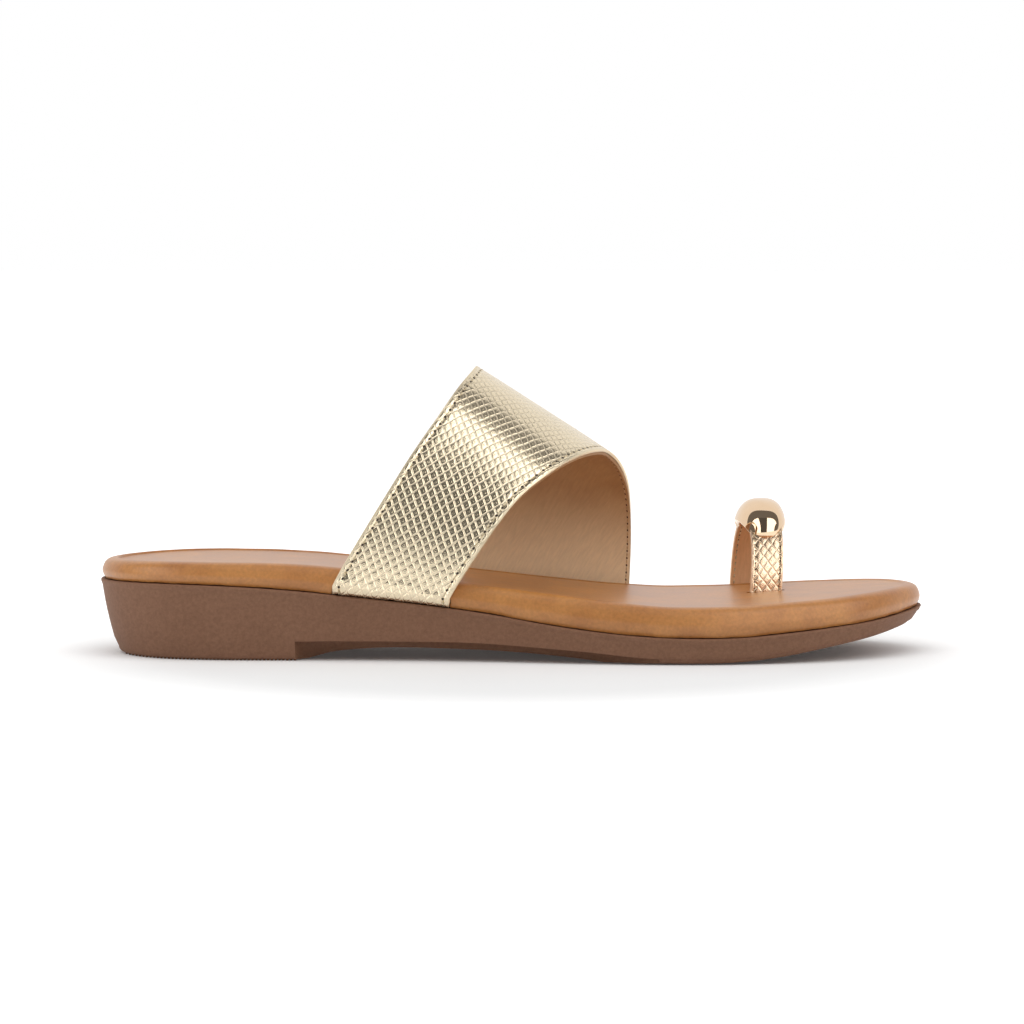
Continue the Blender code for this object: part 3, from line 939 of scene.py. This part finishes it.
def loop_frame():
    """Where the toe loop stands: its outer leg's foot, its run across, and its span."""
    run = Vector((-math.sin(LOOP_TURN), math.cos(LOOP_TURN), 0))
    foot = Vector((LOOP_OUTER_LEG_X, LOOP_OUTER_LEG_Y, 0))
    span = 0.0
    for _ in range(8):
        x = foot.x + run.x * span
        span = (edge_y(x, 1) + STRAP_OUTSTAND - foot.y) / run.y
    return foot, run, span


LOOP_FRAME = loop_frame()


def loop_path(extra=0.0):
    """The toe loop's middle line: distances across and heights, from its outer leg's end."""
    foot, run, span = LOOP_FRAME
    inner = foot + run * span
    spring = top_z(foot.x) + 1.5 * MM
    start = seam_z(inner.x) + CLEARANCE + LOOP_THICKNESS / 2 + STRAP_BEND_RADIUS
    low = seam_z(foot.x) + CLEARANCE - extra
    path = [(0.0, low + (top_z(foot.x) - low) * k / 6) for k in range(7)]
    for step in range(LOOP_ROUND_STEPS + 1):
        angle = math.pi * step / LOOP_ROUND_STEPS
        wide = abs(math.cos(angle)) ** (2 / LOOP_SHOULDER)
        high = max(math.sin(angle), 0.0) ** (2 / LOOP_SHOULDER)
        across = span / 2 * (1 - wide if angle < math.pi / 2 else 1 + wide)
        path.append((across, spring + (LOOP_TOP - spring) * high))
    path += [(span, spring + (start - spring) * k / 8) for k in range(1, 9)]
    for reach in margin_reaches(STRAP_MARGIN + extra, 4):
        inward, down = margin_drop(reach)
        path.append((span - inward, start - down))
    return path


def loop_place(across, height):
    """A point of the loop's plane, which leans a little towards the toe."""
    foot, run, _ = LOOP_FRAME
    lean = math.tan(LOOP_LEAN) * (height - top_z(foot.x))
    return foot + run * across + Vector((lean, 0, height))


def loop_rows(width, places, extra=0.0):
    """The toe loop's grid, whose width follows the rise of the sole towards the toe."""
    run = LOOP_FRAME[1]
    side = Vector((run.y, -run.x, 0))
    rows = []
    for across, height in loop_path(extra):
        centre = loop_place(across, height)
        row = [centre + side * (place - width / 2) for place in places(width)]
        for point in row:
            point.z += seam_z(point.x) - seam_z(centre.x)
        rows.append(row)
    return rows


def flat_pattern(rows, lean):
    """The leather rolled out flat, in millimetres: the place of each row's two ends, found
    from their distances to the last row's, and turned so that v runs along the strap."""

    def meet(a, b, from_a, from_b):
        line = b - a
        gap = line.length
        along = (from_a**2 - from_b**2 + gap**2) / (2 * gap)
        up = math.sqrt(max(from_a**2 - along**2, 0.0))
        line.normalize()
        return a + line * along + Vector((-line.y, line.x)) * up

    ends = [(row[0], row[-1]) for row in rows]
    flat = [(Vector((0, 0)), Vector(((ends[0][1] - ends[0][0]).length, 0)))]
    for (rear, front), (next_rear, next_front) in zip(ends, ends[1:]):
        a, b = flat[-1]
        new_rear = meet(a, b, (next_rear - rear).length, (next_rear - front).length)
        new_front = meet(a, b, (next_front - rear).length, (next_front - front).length)
        flat.append((new_rear, new_front))
    turn = Matrix.Rotation(math.pi / 2 - lean, 2)
    return [(turn @ a / MM, turn @ b / MM) for a, b in flat]


def leather_sheet(name, rows, flat, thickness, inward=False):
    """One layer of a strap from its grid: UV map flat is the leather laid out, and edge the
    distance to the nearest edge and the length along it, all in millimetres."""
    columns = len(rows[0]) - 1
    work = grid(columns, len(rows) - 1)
    flat_uv = work.loops.layers.uv.new("flat")
    edge_uv = work.loops.layers.uv.new("edge")
    lengths = {j: lengths_along([row[j] for row in rows]) for j in (0, columns)}
    for face in work.faces:
        for corner in face.loops:
            i, j = int(corner.vert.co.y), int(corner.vert.co.x)
            row = rows[i]
            rear, front = (row[j] - row[0]).length, (row[j] - row[-1]).length
            share = rear / (rear + front)
            corner[flat_uv].uv = flat[i][0].lerp(flat[i][1], share)
            nearest = 0 if rear < front else columns
            corner[edge_uv].uv = (min(rear, front) / MM, lengths[nearest][i] / MM)
    for vert in work.verts:
        vert.co = rows[int(vert.co.y)][int(vert.co.x)]
    if inward:
        bmesh.ops.reverse_faces(work, faces=work.faces[:])
    obj = add_piece(name, work)
    modify(obj, "SOLIDIFY", thickness=thickness, offset=-1, use_quality_normals=True)
    edge = {"limit_method": "ANGLE", "angle_limit": math.radians(60), "segments": 3}
    modify(obj, "BEVEL", width=thickness * 0.4, **edge)
    return settle(obj, 60)


def seam_line(rows, inset, off, from_rear):
    """Points and outward directions along a seam, at an inset from one edge of a grid."""
    line = []
    for row, outs in zip(rows, normals_of(rows)):
        order = list(range(len(row)))[:: 1 if from_rear else -1]
        for a, b in zip(order, order[1:]):
            near, far = (row[a] - row[order[0]]).length, (row[b] - row[order[0]]).length
            if near <= inset <= far:
                share = (inset - near) / (far - near)
                out = outs[a].lerp(outs[b], share).normalized()
                line.append((row[a].lerp(row[b], share) + out * off, out))
                break
    return line


def sew(name, seams, pitch, length, radius):
    """Stitches along seams, one between each pair of needle holes: short rounded rods."""
    work = bmesh.new()
    for line, lengths in seams:
        total = lengths[-1]
        k = 0
        for stitch in range(1, int(total / pitch)):
            middle = (stitch - 0.5) * pitch
            while lengths[k + 1] < middle:
                k += 1
            share = (middle - lengths[k]) / (lengths[k + 1] - lengths[k])
            (a, out_a), (b, out_b) = line[k], line[k + 1]
            along = (b - a).normalized()
            out = out_a.lerp(out_b, share).normalized()
            side = along.cross(out).normalized()
            out = side.cross(along)
            turn = Matrix((along, side, out)).transposed().to_4x4()
            size = Matrix.Diagonal((length / 2, radius, radius * 0.8, 1))
            place = Matrix.Translation(a.lerp(b, share)) @ turn @ size
            bmesh.ops.create_uvsphere(work, u_segments=8, v_segments=6, radius=1, matrix=place)
    return settle(add_piece(name, work), 180)


def pressed(from_edge, along, seam, pitch, half_depth):
    """How far a strap's face stands off its middle: rounded at its edge, drawn in along its
    seam, a little more at every needle hole."""
    scallop = 0.5 + 0.5 * math.cos(2 * math.pi * along / pitch)
    draw = math.exp(-(((from_edge - seam) / (0.55 * MM)) ** 2))
    swell = math.exp(-(((from_edge - seam * 0.45) / (0.5 * MM)) ** 2))
    return half_depth + 0.06 * MM * swell - (0.1 + 0.08 * scallop) * MM * draw


def sewn_strap(name, middle, flat, thickness, face, sewing, runs=None):
    """A strap's outer leather and its lining, then the stitches along both edges of each.
    Sewing has their names, the seam's inset and height, and the stitches' pitch, length and
    radius. Runs are the lengths along a seam, where they aren't the layer's own."""
    layer = (thickness - LAYER_GAP) / 2
    sheets, stitches = [], []
    for part, off, (stitch_name, inset, height, *sizes) in zip(
        ("leather", "lining"), (face, -thickness / 2), sewing
    ):
        rows = offset_rows(middle, off)
        inward = part == "lining"
        sheets.append(leather_sheet(f"{name}_{part}", rows, flat, layer, inward))
        seams = [
            (
                seam_line(middle, inset, height, from_rear=j == 0),
                runs or lengths_along([row[j] for row in rows]),
            )
            for j in (0, -1)
        ]
        stitches.append((stitch_name, seams, *sizes))
    return sheets + [sew(*row) for row in stitches]


def vamp():
    """The broad strap: gold outer leather and tan lining, two layers sewn by their edges."""
    middle = strap_rows(STRAP_ROUND_STEPS, fine_places, bend_steps=5)
    runs = {j: lengths_along([row[j] for row in middle]) for j in (0, -1)}
    gathered_row = 7

    def face(i, j):
        row = middle[i]
        rear, front = (row[j] - row[0]).length, (row[j] - row[-1]).length
        along = runs[0 if rear < front else -1][i]
        off = pressed(min(rear, front), along, VAMP_SEAM, VAMP_PITCH, STRAP_THICKNESS / 2)
        # The leather is gathered where it is drawn in under the footbed
        low = math.exp(-(((i - gathered_row) / 5) ** 2))
        pucker = ripple(row[j], 2.6 * MM, 5.0) + 0.6 * ripple(row[j], 1.4 * MM, 8.0)
        return off + low * 0.28 * MM * pucker

    half = STRAP_THICKNESS / 2
    sewing = (
        ("vamp_stitches", VAMP_SEAM, half - 0.12 * MM, VAMP_PITCH, 2.1 * MM, 0.2 * MM),
        ("vamp_lining_stitches", LINING_SEAM, -half, LINING_PITCH, 1.5 * MM, 0.17 * MM),
    )
    flat = flat_pattern(middle, NET_LEAN)
    return sewn_strap("vamp_strap", middle, flat, STRAP_THICKNESS, face, sewing)


def toe_loop():
    """The toe loop: a narrow strap of the same two layers, sewn close to both edges."""
    middle = loop_rows(LOOP_WIDTH, loop_places)
    runs = lengths_along([row[0] for row in middle])
    edge = LOOP_WIDTH / 2 / MM
    flat = [(Vector((-edge, run / MM)), Vector((edge, run / MM))) for run in runs]
    half = LOOP_THICKNESS / 2

    def face(i, j):
        row = middle[i]
        near = min((row[j] - row[0]).length, (row[j] - row[-1]).length)
        return pressed(near, runs[i], LOOP_SEAM, LOOP_PITCH, half)

    sewing = (
        ("toe_loop_stitches", LOOP_SEAM, half - 0.1 * MM, LOOP_PITCH, 1.35 * MM, 0.17 * MM),
        ("toe_loop_lining_stitches", LOOP_SEAM, -half, LOOP_PITCH, 1.3 * MM, 0.24 * MM),
    )
    return sewn_strap("toe_loop", middle, flat, LOOP_THICKNESS, face, sewing, runs)


def toe_bead():
    """The bead: an egg-shaped dome cut hollow to sit on the toe loop's arch, with a thin
    rolled rim and a back that closes round the strap."""
    run, span = LOOP_FRAME[1:]
    side = Vector((run.y, -run.x, 0))
    crown = LOOP_TOP + BEAD_RISE - BEAD_EQUATOR
    arch = [Vector(place) for place in loop_path()]
    lengths = lengths_along(arch)
    middle = lengths[max(range(len(arch)), key=lambda i: arch[i].y)]
    places = [through(lengths, [point[k] for point in arch]) for k in range(2)]
    stations = [middle + BEAD_REACH * 1.4 * (k / 60 - 1) for k in range(121)]
    nearby = [(s, Vector([place(s) for place in places])) for s in stations]

    def outward(s, foot):
        ahead = Vector([place(s + 0.1 * MM) for place in places])
        return Vector((foot.y - ahead.y, ahead.x - foot.x)).normalized()

    def over_arch(across, height):
        """The nearest place on the arch: length from its top, and height off it."""
        spot = Vector((across, height))
        s, foot = min(nearby, key=lambda pair: (pair[1] - spot).length)
        return s - middle, (spot - foot).dot(outward(s, foot))

    def on_dome(turn, rise):
        flat = math.cos(rise)
        across = span / 2 + BEAD_REACH * flat * math.cos(turn)
        sideways = BEAD_HALF_WIDTH * flat**BEAD_SQUARENESS * math.sin(turn)
        return across, BEAD_EQUATOR + crown * math.sin(rise), sideways

    turns = [2 * math.pi * k / BEAD_STEPS_ROUND for k in range(BEAD_STEPS_ROUND)]
    lows = []
    for turn in turns:
        low, high = BEAD_LOWEST - BEAD_BOW * math.cos(turn) ** 2, math.pi / 2
        if over_arch(*on_dome(turn, low)[:2])[1] < BEAD_SEAT:
            for _ in range(14):
                rise = (low + high) / 2
                under = over_arch(*on_dome(turn, rise)[:2])[1] < BEAD_SEAT
                low, high = (rise, high) if under else (low, rise)
        lows.append(low)
    rings = []
    for step in range(BEAD_STEPS_ALONG + 1):
        share = math.sin(math.pi / 2 * step / BEAD_STEPS_ALONG)
        ring = []
        for turn, low in zip(turns, lows):
            across, height, sideways = on_dome(turn, math.pi / 2 + (low - math.pi / 2) * share)
            ring.append(loop_place(across, height) + side * sideways)
        rings.append(ring)
    rims = [(over_arch(*on_dome(t, low)[:2]), on_dome(t, low)[2]) for t, low in zip(turns, lows)]
    for share, drop in BEAD_UNDERSIDE:
        ring = []
        for (along, height), sideways in rims:
            s = middle + along * share
            foot = Vector([place(s) for place in places])
            foot += outward(s, foot) * (height * soft_step(0.75, 1, share) - drop)
            ring.append(loop_place(foot.x, foot.y) + side * (sideways * share))
        rings.append(ring)
    return settle(skin("toe_bead_polished", rings), 180)


# Assembly

RUBBER = rubber()
COWHIDE = footbed_leather()
# A seam's inset and pitch, then the radius of its needle holes
SEAMS = [
    (inset / MM, pitch / MM, hole)
    for inset, pitch, hole in (
        (VAMP_SEAM, VAMP_PITCH, 0.37),
        (LOOP_SEAM, LOOP_PITCH, 0.22),
        (LINING_SEAM, LINING_PITCH, 0.26),
    )
]
GOLD = snake_leather("gold_foiled_snake_leather", "F7E8CC", "EAD8B6", *SEAMS[0])
ROSE = snake_leather("rose_foiled_snake_leather", "F6DCC0", "EBC6A0", *SEAMS[1])
# Each lining's pale and deep tones, then the colour of the painted bounce light at its foot
VAMP_HUES, LOOP_HUES = ("BC9468", "A67A4E", "FFE8C2"), ("C0966C", "AB7A4E", "F2C496")
VAMP_LINING = lining_leather("sheepskin_vamp_lining", *VAMP_HUES, *SEAMS[2])
LOOP_LINING = lining_leather("sheepskin_loop_lining", *LOOP_HUES, *SEAMS[1])
GOLD_THREAD = thread("pale_gold_thread", "D9C7A2")
TAN_THREAD = thread("tan_thread", "CBA479")
GOLD_PLATE = polished_gold()

sole_piece = sole()
footbed_piece = footbed()
seat_thickness = STRAP_THICKNESS + 2 * CLEARANCE
slot_thickness = LOOP_THICKNESS + 2 * CLEARANCE
slot_width = LOOP_WIDTH + 2 * LOOP_SLOT_SPARE
carve(
    footbed_piece,
    [
        cut_band("strap_seat", strap_rows(30, even_places, CLEARANCE), seat_thickness),
        cut_band(
            "loop_slot",
            loop_rows(slot_width, lambda width: (0, width / 2, width), LOOP_SLOT_SPARE),
            slot_thickness,
        ),
    ],
)
dress(sole_piece, "sole_unit", "sole_rubber", RUBBER)
dress(tread(), None, "sole_rubber", RUBBER)
dress(footbed_piece, "footbed", "footbed_leather", COWHIDE)
for made, node, slot_name, finishes in (
    (vamp(), "vamp_strap", "gold_snake_leather", (GOLD, VAMP_LINING, GOLD_THREAD, TAN_THREAD)),
    (toe_loop(), "toe_loop", "rose_snake_leather", (ROSE, LOOP_LINING, GOLD_THREAD, GOLD_THREAD)),
):
    for piece, finish in zip(made, finishes):
        dress(piece, node if piece is made[0] else None, slot_name, finish)
dress(toe_bead(), "toe_bead", "polished_gold", GOLD_PLATE)

# Studio

scene = bpy.context.scene
scene.view_settings.view_transform = "Standard"

camera_data = bpy.data.cameras.new("camera")
camera_data.lens = 169.4
camera_data.sensor_width = 36.0
camera_data.clip_end = 50
camera = bpy.data.objects.new("camera", camera_data)
scene.collection.objects.link(camera)
scene.camera = camera
ELEVATION = math.radians(4)
TARGET = Vector((0.0945, 0, 0.0435))
camera.location = TARGET + Vector((0, -math.cos(ELEVATION), math.sin(ELEVATION))) * 1.5
camera.rotation_euler = (math.pi / 2 - ELEVATION, 0, 0)


# The studio round the sandal by how far a direction has swung up from the camera, in degrees:
# an unlit lower wall, the lamps' row, a dim gap over them and a white wall and ceiling behind.
STUDIO_BANDS = [
    (-180, 0.92),
    (-6, 0.9),
    (2, 0.1),
    (26, 0.12),
    (38, 1.1),
    (84, 1.15),
    (99, 0.24),
    (127, 0.24),
    (145, 0.95),
    (180, 0.95),
]

# The same studio as a mirror shows it, sharper: a dim room with two windows before white.
# Windows and the dark gap between them are in degrees of turn towards the toe. The room and
# the windows end at a swing, and reach higher by this much times the turn squared.
WINDOWS = ((-68, -36), (10, 69))
DARK_HALF_TURN = 36
ROOM_FOOT = -4
ROOM_TOP = (102, 24 / 50**2)
WINDOW_TOP = (70, 18 / 55**2)
WINDOW_GLOW = 2.1
ROOM_GLOW = 0.16
DARK_GLOW = 0.09
WHITE_GLOW = 0.93


def studio_world():
    """White to the camera; in reflections the studio's bands and windows of light and dark."""
    world = bpy.data.worlds.new("studio")
    world.use_nodes = True
    tree = world.node_tree
    node = partial(add, tree)
    direction = node("TexCoord", output="Generated")
    across, back, up = node("SeparateXYZ", direction, output=None)
    swing = node("Math:ARCTAN2", up, node("Math:SUBTRACT", 0.0, back))
    bands = tree.nodes.new("ShaderNodeValToRGB")
    plug(bands, {0: node("MapRange", swing, -math.pi, math.pi)})
    elements = bands.color_ramp.elements
    for degrees, level in STUDIO_BANDS[1:-1]:
        elements.new((degrees + 180) / 360).color = (level, level, level, 1)
    elements[0].color = (*[STUDIO_BANDS[0][1]] * 3, 1)
    elements[-1].color = (*[STUDIO_BANDS[-1][1]] * 3, 1)

    swing = node(TIMES, swing, math.degrees(1))
    turn = node(TIMES, node("Math:ARCSINE", across), math.degrees(1))
    turn_size = node("Math:ABSOLUTE", turn)
    bow = node("Math:POWER", turn_size, 2)
    room, lit = [
        node("Math:LESS_THAN", swing, node(TIMES_PLUS, bow, higher, top))
        for top, higher in (ROOM_TOP, WINDOW_TOP)
    ]
    room = node(TIMES, room, node("Math:GREATER_THAN", swing, ROOM_FOOT))
    windows = 0.0
    for low, high in WINDOWS:
        sides = node("Math:GREATER_THAN", turn, low), node("Math:LESS_THAN", turn, high)
        windows = node(TIMES_PLUS, *sides, windows)
    dark = node("Math:LESS_THAN", turn_size, DARK_HALF_TURN)
    dark = node(TIMES, dark, node("Math:SUBTRACT", 1.0, windows))
    glow = node(TIMES, dark, DARK_GLOW - ROOM_GLOW)
    glow = node(TIMES_PLUS, windows, WINDOW_GLOW - ROOM_GLOW, glow)
    glow = node(TIMES_PLUS, glow, lit, ROOM_GLOW - WHITE_GLOW)
    glow = node(TIMES_PLUS, glow, room, WHITE_GLOW)

    colour = bands.outputs[0]
    for ray, over in (("Is Glossy Ray", glow), ("Is Camera Ray", (1, 1, 1, 1))):
        seen = node("LightPath", output=ray)
        colour = node("Mix", {0: seen, UNDER: colour, OVER: over}, **COLOURS)
    plug(tree.nodes["Background"], {"Color": colour})
    scene.world = world


def studio_lamp():
    """A broad soft light over the sandal, kept out of reflections."""
    data = bpy.data.lights.new("overhead", "AREA")
    data.shape = "RECTANGLE"
    data.size, data.size_y = 1.4, 0.9
    data.energy = 5
    lamp = bpy.data.objects.new("overhead", data)
    lamp.location = (0.1, -0.1, 1.3)
    aim = Vector((0.1, 0, 0)) - lamp.location
    lamp.rotation_euler = aim.to_track_quat("-Z", "Y").to_euler()
    lamp.visible_glossy = False
    scene.collection.objects.link(lamp)


# The floor's pool of shade under the sandal, painted by a glow that fades towards it: an
# oval's half length and half width, and where its edge begins and ends as shares of them
PAINTED_SHADE_POOL_SIZE = (0.17, 0.19)
PAINTED_SHADE_POOL_EDGE = (0.6, 1.05)


def studio_floor():
    """A white sweep, glowing with painted light as bright as its surroundings away from the
    sandal.
    """
    work = bmesh.new()
    bmesh.ops.create_grid(work, x_segments=1, y_segments=1, size=6)
    floor = add_piece("studio_floor", work)
    material, node, shader = finish_named("glowing_white_sweep")
    place = node("TexCoord", output="Object")
    centred = node("VectorMath:SUBTRACT", place, (TARGET.x, 0, 0))
    shares = (1 / PAINTED_SHADE_POOL_SIZE[0], 1 / PAINTED_SHADE_POOL_SIZE[1], 0)
    centred = node("VectorMath:MULTIPLY", centred, shares)
    reach = node("VectorMath:LENGTH", centred, output="Value")
    # Painted light: the floor glows more away from the sandal, which paints a pool of shade round
    # it
    glow = node(EASE, reach, *PAINTED_SHADE_POOL_EDGE, 0.04, 0.4)
    plug(shader, {"Base Color": (0.9, 0.9, 0.9, 1), "Roughness": 0.9})
    plug(shader, {"Specular IOR Level": 0.1, "Emission Color": (1, 1, 1, 1)})
    plug(shader, {"Emission Strength": glow})
    floor.data.materials.append(material)


studio_world()
studio_lamp()
studio_floor()
